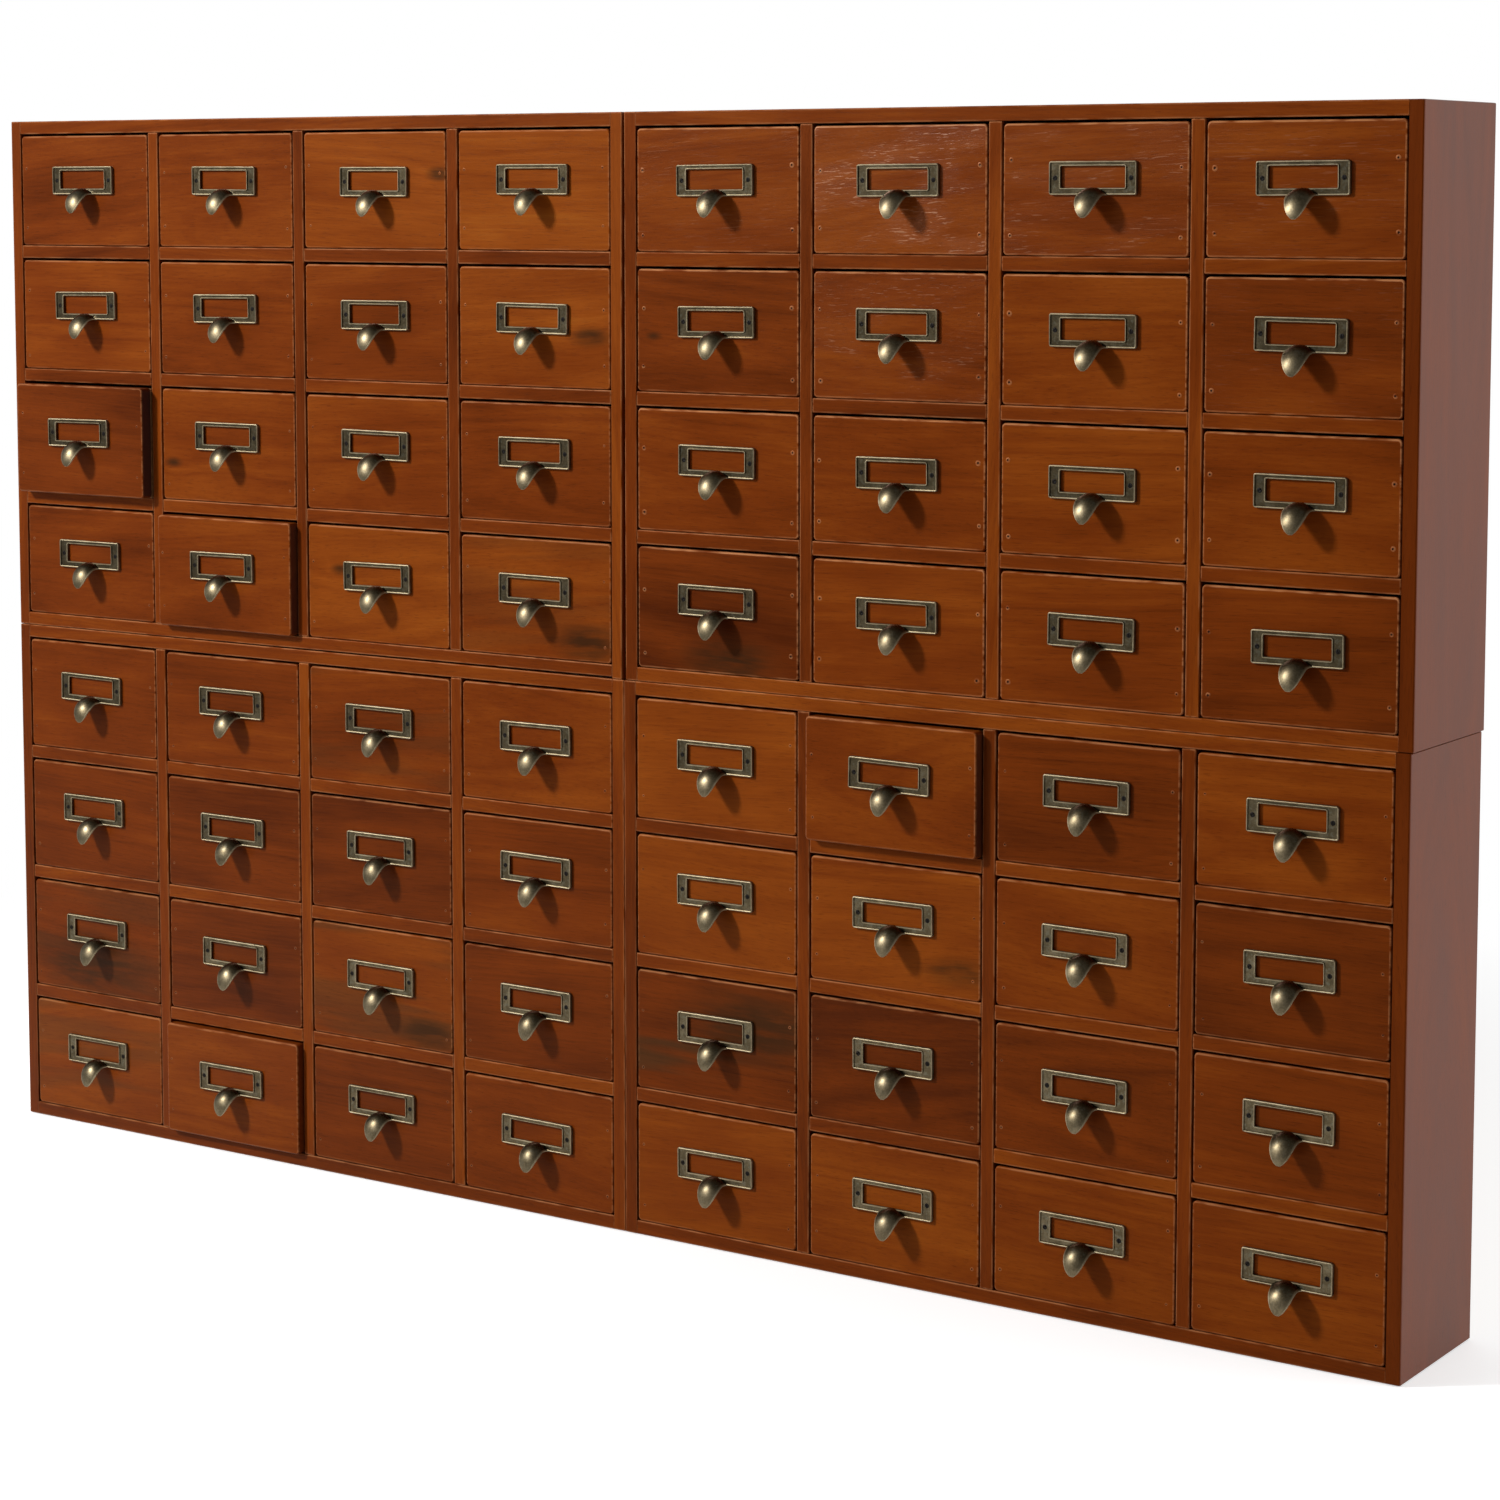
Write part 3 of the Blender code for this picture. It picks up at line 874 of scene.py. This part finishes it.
    # The end grain's dark colour: soaked stain, and on two listed fronts also painted shade and painted
    # light
    colour = n.mix(n.math("MULTIPLY", end_grain_and_shade, END_COVER), colour, END_COLOUR)
    n.set("Base Color", n.mix(hole, colour, HOLE_COLOUR))
    n.set("Roughness", rough)
    n.set("Specular IOR Level", shine)
    n.set("Specular Tint", (*tint, 1.0) if isinstance(tint, tuple) else tint)
    n.bump(height, relief, WOOD_DEPTH)
    return n.made


# The brass, from its darkest patina to bare metal, and the grey bloom in its hollows
BRASS_COLOURS = (
    (0.00, (0.020, 0.015, 0.009)),
    (0.35, (0.084, 0.065, 0.036)),
    (0.65, (0.215, 0.172, 0.104)),
    (1.00, (0.410, 0.348, 0.230)),
)
BLOOM_COLOUR = (0.140, 0.132, 0.096)
# Its marks, in changes to the metre, and how far apart the pulls' patterns lie
BRASS_CLOUD, BRASS_BLOOM, BRASS_SPECK = 110.0, 420.0, 900.0
BRUSHED = (260.0, 2600.0, 2600.0)
PATTERN_STEP = (9.0, 5.0, 0.0)
BARE, BARE_WHERE_RUBBED = 0.37, 0.42


def antique_brass():
    """Brass with a grey-green patina that is rubbed thin on the rims and the tongue."""
    n = Nodes(bpy.data.materials.new("antique_brass"))
    own = n.add("ShaderNodeObjectInfo").outputs["Random"]
    place = n.add("ShaderNodeVectorMath", (0, own), (1, PATTERN_STEP), operation="MULTIPLY_ADD")
    n.give(place, 2, n.add("ShaderNodeTexCoord").outputs["Object"])
    place = place.outputs["Vector"]
    rubbed = n.parts(n.attribute("wear"))[0]
    cloud = n.noise(n.scaled(place, 3 * (BRASS_CLOUD,)), 3.0, 0.6)
    speck = n.noise(n.scaled(place, 3 * (BRASS_SPECK,)), 2.0, 0.6)
    brushed = n.noise(n.scaled(place, BRUSHED), 1.0)
    bare = n.math("ADD", n.spread(cloud, 0.5), n.spread(speck, 0.3))
    bare = n.math("ADD", bare, n.math("MULTIPLY_ADD", rubbed, BARE_WHERE_RUBBED, BARE), clamp=True)
    bloom = n.between(n.noise(n.scaled(place, 3 * (BRASS_BLOOM,)), 2.0, 0.6), 0.50, 0.66)
    bloom = n.math("MULTIPLY", bloom, n.math("SUBTRACT", 0.5, rubbed, clamp=True))
    bloom = n.math("MULTIPLY", bloom, n.between(rubbed, -0.2, 0.0))
    n.set("Base Color", n.mix(bloom, n.ramp(bare, *BRASS_COLOURS), BLOOM_COLOUR))
    n.set("Metallic", 1.0)
    rough = n.math("MULTIPLY_ADD", rubbed, 0.22, 0.33)
    n.set("Roughness", n.math("ADD", rough, n.spread(speck, 0.10)))
    n.bump(n.math("MULTIPLY_ADD", brushed, 0.3, speck), 0.12, BRASS_DEPTH)
    return n.made


RUST = 3 * (1500.0,)
STEEL_COLOURS = ((0.35, (0.004, 0.003, 0.003)), (0.70, (0.016, 0.011, 0.008)))


def dark_steel():
    """Screws and brads, nearly black: their own dark metal, and on the pulls' screws also painted shade.
    """
    n = Nodes(bpy.data.materials.new("dark_screw"))
    rust = n.noise(n.scaled(n.add("ShaderNodeTexCoord").outputs["Object"], RUST), 2.0)
    n.set("Base Color", n.ramp(rust, *STEEL_COLOURS))
    n.set("Specular IOR Level", 0.12)
    n.set("Roughness", n.between(rust, 0.3, 0.7, 0.45, 0.65))
    n.bump(rust, 0.2, STEEL_DEPTH)
    return n.made


lacquered = {"colours": STAIN_COLOURS, "roughness": 0.32, "shine": 0.18}
stained = wood("stained_wood", **lacquered, relief=0.25, figure=0.80)
scratched = wood("scratched_wood", **lacquered, relief=0.25, figure=0.80, lacquer="scratched")
outer_side = wood("stained_side", **lacquered, relief=0.20, figure=0.45, lacquer="thin")
tray_wood = wood("drawer_wood", TRAY_COLOURS, roughness=0.58, shine=0.30, relief=0.30)
ply = wood("bare_ply", PLY_COLOURS, roughness=0.62, shine=0.30, relief=0.30)
brass = antique_brass()
screw_metal = dark_steel()


def drawer_place(row, column):
    """The foot of a drawer's front, in the middle of its width."""
    if row == JOINED_ROW:
        below = drawer_place(row + 1, column)
        return below + UP * (below.z - drawer_place(row + 2, column).z)
    low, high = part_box(f"drawer_r{row}c{column}")
    return Vector(((low.x + high.x) / 2, high.y - DRAWER_DEPTH, low.z))


def cabinet_of(row, column):
    return f"{'upper' if row <= CELLS else 'lower'}_{'left' if column <= CELLS else 'right'}"


def drawer_front(row, column):
    """The front board with its four nails."""
    name = f"front_r{row}c{column}"
    rng = Random(name)
    at = drawer_place(row, column)
    half = DRAWER_WIDTH / 2
    # On the bottom row and on (1, 6) the listed shade is partly painted light
    shade = TONES_AND_PAINTED_LIGHT.get((row, column))
    if shade is None:
        shade = Random("shade " + name).uniform(-SHADE_SPREAD, SHADE_SPREAD)
    gloss = GLOSS_LINES.get((row, column), 0.0)
    stain = (shade, STREAKS.get((row, column), 0.0), gloss)
    piece = Piece()
    worn = WORN[cabinet_of(row, column)]
    end_soak_and_shade = END_SOAK_AND_PAINTED_SHADE.get((row, column), USUAL_END_DARKNESS)
    trunk = rounded_slab(piece, at, rng, stain, KNOTS.get((row, column)), worn, end_soak_and_shade)
    clear = NAIL_CLEARNESS.get(cabinet_of(row, column), USUAL_NAIL_CLEARNESS)
    for x in (NAIL_FROM_SIDE - half, half - NAIL_FROM_SIDE):
        for fall in NAIL_HEIGHTS:
            height = DRAWER_HEIGHT - fall + rng.uniform(-NAIL_SPREAD, NAIL_SPREAD)
            spot = at + Vector((x + rng.uniform(-NAIL_SIDE_SPREAD, NAIL_SIDE_SPREAD), 0, height))
            size = clear * rng.uniform(*NAIL_SIZES)
            profile = [(radius * size, rise) for radius, rise in NAIL_PROFILE]
            disc(piece, spot, FRONT, profile, 0, trunk, stain, len(profile) - 1, worn)
    return piece.build(name, scratched if gloss else stained)


def tray(row, column):
    """The box behind a drawer's front: two sides, a back and a floor."""
    name = f"tray_r{row}c{column}"
    rng = Random(name)
    at = drawer_place(row, column)
    half = DRAWER_WIDTH / 2 - TRAY_IN
    inner = half - DRAWER_SIDE
    top = DRAWER_HEIGHT - TRAY_LOWER
    near, far = DRAWER_FRONT + JOINT_GAP, DRAWER_DEPTH
    piece = Piece()
    shapes = (
        ((-half, near, 0), (-inner, far, top), REAR, RIGHT, 0),
        ((inner, near, 0), (half, far, top), REAR, RIGHT, 0),
        (
            (JOINT_GAP - inner, far - DRAWER_SIDE, 0),
            (inner - JOINT_GAP, far - JOINT_GAP, top - TRAY_LOWER),
            RIGHT,
            REAR,
            0,
        ),
        (
            (JOINT_GAP - inner, near, 2 * JOINT_GAP),
            (inner - JOINT_GAP, far - DRAWER_SIDE - JOINT_GAP, DRAWER_FLOOR),
            RIGHT,
            UP,
            1,
        ),
    )
    for low, high, along, outward, slot in shapes:
        stain = (rng.uniform(-TRAY_SPREAD, TRAY_SPREAD), 0.0, 0.0)
        low, high = at + Vector(low), at + Vector(high)
        board(piece, low, high, TRAY_ROUND, rng, along, outward, stain, slot=slot, worn=TRAY_WORN)
    return piece.build(name, tray_wood, ply)


def pull(row, column, mesh):
    """The label frame with its tongue. It isn't set quite true on every drawer."""
    name = f"pull_r{row}c{column}"
    rng = Random(name)
    at = drawer_place(row, column)
    made = placed(name, mesh)
    aside, up = rng.uniform(-PULL_DRIFT_X, PULL_DRIFT_X), rng.uniform(-PULL_DRIFT_Z, PULL_DRIFT_Z)
    foot = UP * (DRAWER_HEIGHT - FRAME_FROM_TOP - FRAME_HEIGHT)
    made.location = at + foot + Vector((aside, 0, up))
    made.rotation_euler = Euler((0, rng.uniform(-PULL_TURN, PULL_TURN), 0))
    return made


def drawer(row, column, mesh):
    joined = row == JOINED_ROW
    body = CARCASS_BODY if joined else f"drawer_r{row}c{column}"
    node = f"carcass_{cabinet_of(row, column)}" if joined else body
    made = (
        (drawer_front(row, column), "stained_wood"),
        (tray(row, column), "stained_wood"),
        (pull(row, column, mesh), "antique_brass"),
    )
    for piece, finish in made:
        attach(piece, body)
        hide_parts(node)


# The two ends of a board that lies along X, as (axis, side)
ENDS = ((0, 0), (0, 1))


def carcass(cabinet):
    """The boards of one cabinet, each set back a little from its front by its own amount."""
    node = f"carcass_{cabinet}"
    low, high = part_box(node)
    whole_low, whole_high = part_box("carcass_lower_left")
    low.y = high.y - (whole_high.y - whole_low.y)
    row, column = CABINETS[cabinet]
    pitch = drawer_place(row + 1, column + 1) - drawer_place(row + 1, column)
    rise = drawer_place(row + 1, column) - drawer_place(row + 2, column)
    rng = Random(node)
    pieces = []

    def opened(p):
        """Where the upper left cabinet's right side leans in towards its foot."""
        share = (high.z - p.z) / (high.z - low.z)
        x = p.x - SEAM_OPENING * share if p.x > high.x - BOARD / 2 else p.x
        return Vector((x, p.y, p.z))

    def lifted(p):
        """Where the upper left cabinet's bottom board is worn off at its right end."""
        share = max(0.0, (p.x - high.x) / (CELLS * pitch.x) + 1) ** 3
        z = p.z + FOOT_LIFT * share if p.z < low.z + BOARD / 2 else p.z
        x = p.x - SEAM_OPENING if p.x > high.x - BOARD / 2 else p.x
        return Vector((x, p.y, z))

    def boards(name, along, outward, *boxes, **how):
        piece = Piece()
        shade = how.pop("shade", None)
        finish = how.pop("finish", stained)
        for box_low, box_high in boxes:
            box_low = Vector(box_low) + REAR * rng.uniform(0, SET_BACK)
            tone = shade if shade is not None else rng.uniform(-CARCASS_SPREAD, CARCASS_SPREAD)
            stain = (tone, 0.0, 0.0)
            worn = 0.0 if "rounder" in how and outward == RIGHT else CARCASS_WORN
            board(piece, box_low, box_high, CARCASS_ROUND, rng, along, outward, stain, worn=worn, **how)
        pieces.append((piece.build(f"{name}_{cabinet}", finish), "stained_wood"))

    left, right = low.x, high.x
    foot, head = low.z, high.z
    front, rear = low.y, high.y
    inner_rear = rear - BACK_PANEL
    under, over = foot + BOARD + JOINT_GAP, head - BOARD - JOINT_GAP
    between_left, between_right = left + BOARD + JOINT_GAP, right - BOARD - JOINT_GAP
    seam = cabinet == "upper_left"
    outer = {"rounder": ((0, 1), (1, 0))} if column > CELLS else {}
    boards(
        "top",
        RIGHT,
        UP,
        ((between_left, front, head - BOARD), (between_right, rear, head)),
        shade=TOP_SHADES[cabinet],
        jointed=ENDS,
    )
    bottom = ((between_left, front, foot), (between_right, rear, foot + BOARD))
    boards("bottom", RIGHT, UP, bottom, jointed=ENDS, **({"warp": lifted} if seam else {}))
    side = ((left, front, foot), (left + BOARD, rear, head))
    boards("side_left", UP, RIGHT, side, jointed=ENDS[1:])
    side = ((right - BOARD, front, foot), (right, rear, head))
    if outer:
        # The outer side boards get a darker shade, which is painted shade on their front edges
        outer.update(shade=OUTER_SIDE_PAINTED_SHADE, finish=outer_side)
    elif seam:
        outer["warp"] = opened
    boards("side_right", UP, RIGHT, side, jointed=ENDS[:1], **outer)
    dividers = []
    for k in range(1, CELLS):
        x = left + k * pitch.x
        dividers.append(((x, front, under), (x + BOARD, inner_rear, over)))
    boards("dividers", UP, RIGHT, *dividers)
    shelves = []
    for j in range(CELLS):
        for k in range(1, CELLS):
            x, z = left + j * pitch.x, foot + k * rise.z
            shelves.append(
                (
                    (x + BOARD + JOINT_GAP, front, z),
                    (x + pitch.x - JOINT_GAP, inner_rear, z + BOARD),
                )
            )
    boards("shelves", RIGHT, UP, *shelves)

    back = Piece()
    edge = BOARD + JOINT_GAP
    panel_low = Vector((left + edge, inner_rear + JOINT_GAP, foot + edge))
    panel_high = Vector((right - edge, rear - 2 * JOINT_GAP, head - edge))
    stain = (rng.uniform(-BACK_SPREAD, BACK_SPREAD), 0.0, 0.0)
    trunk = board(back, panel_low, panel_high, TRAY_ROUND, rng, RIGHT, REAR, stain, worn=BACK_WORN)
    middle, reach = (panel_low + panel_high) / 2, (panel_high - panel_low) / 2
    for share in BRAD_SHARES:
        for end in (-1, 1):
            z = middle.z + end * (reach.z - BRAD_FROM_EDGE)
            spot = Vector((middle.x + share * reach.x, panel_high.y, z))
            disc(back, spot, REAR, BRAD_PROFILE, 1, trunk, stain, len(BRAD_PROFILE))
    pieces.append((back.build(f"back_{cabinet}", ply, screw_metal), "bare_ply"))
    for piece, finish in pieces:
        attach(piece, CARCASS_BODY)
        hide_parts(node)


for cabinet in CABINETS:
    carcass(cabinet)
shared_pull = pull_mesh(brass, screw_metal)
for row in range(1, 2 * CELLS + 1):
    for column in range(1, 2 * CELLS + 1):
        drawer(row, column, shared_pull)


# Studio: a pale floor that runs into a white background, and a dim room before the fronts that is
# lighter on its left. The room's edges are parts of the directions from the object.
FLOOR_RADIUS = 2.2
FLOOR_DROP = 0.0006
FLOOR_SIDES = 96
FLOOR_MARKS = 3 * (6.0,)
FLOOR_COLOUR, FLOOR_SHADE = (0.80, 0.80, 0.80), (0.7, 0.7, 0.7)
BOUNCE_COLOUR = (0.44, 0.44, 0.44)
FLOOR_GLOW = 0.50
NEAR, FAR = 0.70, 1.4
DIM_ROOM = 0.15
LEFT_ROOM = 0.46
BEHIND = (0.05, 0.60)
LEFT_EDGE = (-0.76, -0.46)
WHITE = (1, 1, 1, 1)


def seen_directly(n, *rays):
    """1 for the camera's rays and the named ones, by which a surface is seen, and 0 for its light."""
    path = n.add("ShaderNodeLightPath").outputs
    total = path["Is Camera Ray"]
    for name in rays:
        total = n.math("MAXIMUM", total, path[name])
    return total


def floor():
    n = Nodes(bpy.data.materials.new("floor_paper"))
    place = n.add("ShaderNodeNewGeometry").outputs["Position"]
    paper = n.noise(n.scaled(place, FLOOR_MARKS), 3.0)
    direct = seen_directly(n, "Is Glossy Ray", "Is Transmission Ray")
    paper = n.mix(n.math("MULTIPLY", paper, 0.05), FLOOR_COLOUR, FLOOR_SHADE)
    n.set("Base Color", n.mix(direct, BOUNCE_COLOUR, paper))
    n.set("Roughness", 0.9)
    n.set("Specular IOR Level", 0.0)
    n.set("Emission Color", WHITE)
    n.set("Emission Strength", n.math("MULTIPLY", direct, FLOOR_GLOW))
    white = n.add("ShaderNodeEmission", ("Color", WHITE), ("Strength", 1.0))
    away = n.between(n.length(n.scaled(place, (1.0, 1.0, 0.0))), NEAR, FAR)
    factor = n.math("MULTIPLY", away, direct)
    mixed = n.add("ShaderNodeMixShader", (0, factor), (1, n.shader.outputs[0]))
    n.give(mixed, 2, white.outputs[0])
    output = next(node for node in n.tree.nodes if node.type == "OUTPUT_MATERIAL")
    n.tree.links.new(mixed.outputs[0], output.inputs["Surface"])
    turns = [2 * pi * i / FLOOR_SIDES for i in range(FLOOR_SIDES)]
    points = [(FLOOR_RADIUS * cos(turn), FLOOR_RADIUS * sin(turn), -FLOOR_DROP) for turn in turns]
    mesh = bpy.data.meshes.new("floor")
    mesh.from_pydata(points, [], [list(range(FLOOR_SIDES))])
    mesh.materials.append(n.made)
    placed("floor", mesh)


def world():
    n = Nodes(bpy.data.worlds.new("studio"), "Background")
    x, y, _ = n.parts(n.add("ShaderNodeTexCoord").outputs["Generated"])
    behind = n.between(y, *BEHIND, DIM_ROOM, 1.0)
    room = n.math("MAXIMUM", behind, n.between(x, *LEFT_EDGE, LEFT_ROOM, DIM_ROOM))
    n.set("Color", WHITE)
    n.set("Strength", n.math("MAXIMUM", seen_directly(n, "Is Transmission Ray"), room))
    bpy.context.scene.world = n.made


def area_lamp(name, place, aim, width, height, power):
    lamp = bpy.data.lights.new(name, "AREA")
    lamp.shape = "RECTANGLE"
    lamp.size, lamp.size_y = width, height
    lamp.energy = power
    made = placed(name, lamp)
    made.location = place
    made.rotation_euler = (Vector(aim) - Vector(place)).to_track_quat("-Z", "Y").to_euler()


floor()
world()
# Lamps: name, place, what they point at, width, height and power
LAMPS = (
    ("key_lamp", (-1.80, -1.90, 1.92), (1.20, -1.30, 0.20), 0.40, 0.40, 95.0),
    ("sheen_lamp", (-1.40, -2.60, 1.45), (0.10, 0.0, 0.70), 0.80, 0.50, 6.0),
    ("side_lamp", (2.10, 0.35, 0.90), (0.60, 0.05, 0.40), 1.00, 1.00, 10.0),
)
for lamp in LAMPS:
    area_lamp(*lamp)

scene = bpy.context.scene
scene.view_settings.view_transform = "Standard"
camera = bpy.data.cameras.new("camera")
camera.sensor_width = SENSOR_WIDTH
camera.lens = CAMERA_LENS
camera.shift_y = CAMERA_SHIFT
scene.camera = placed("camera", camera)
scene.camera.location = CAMERA_PLACE
scene.camera.rotation_euler = Euler((pi / 2 - CAMERA_PITCH, 0, CAMERA_YAW))
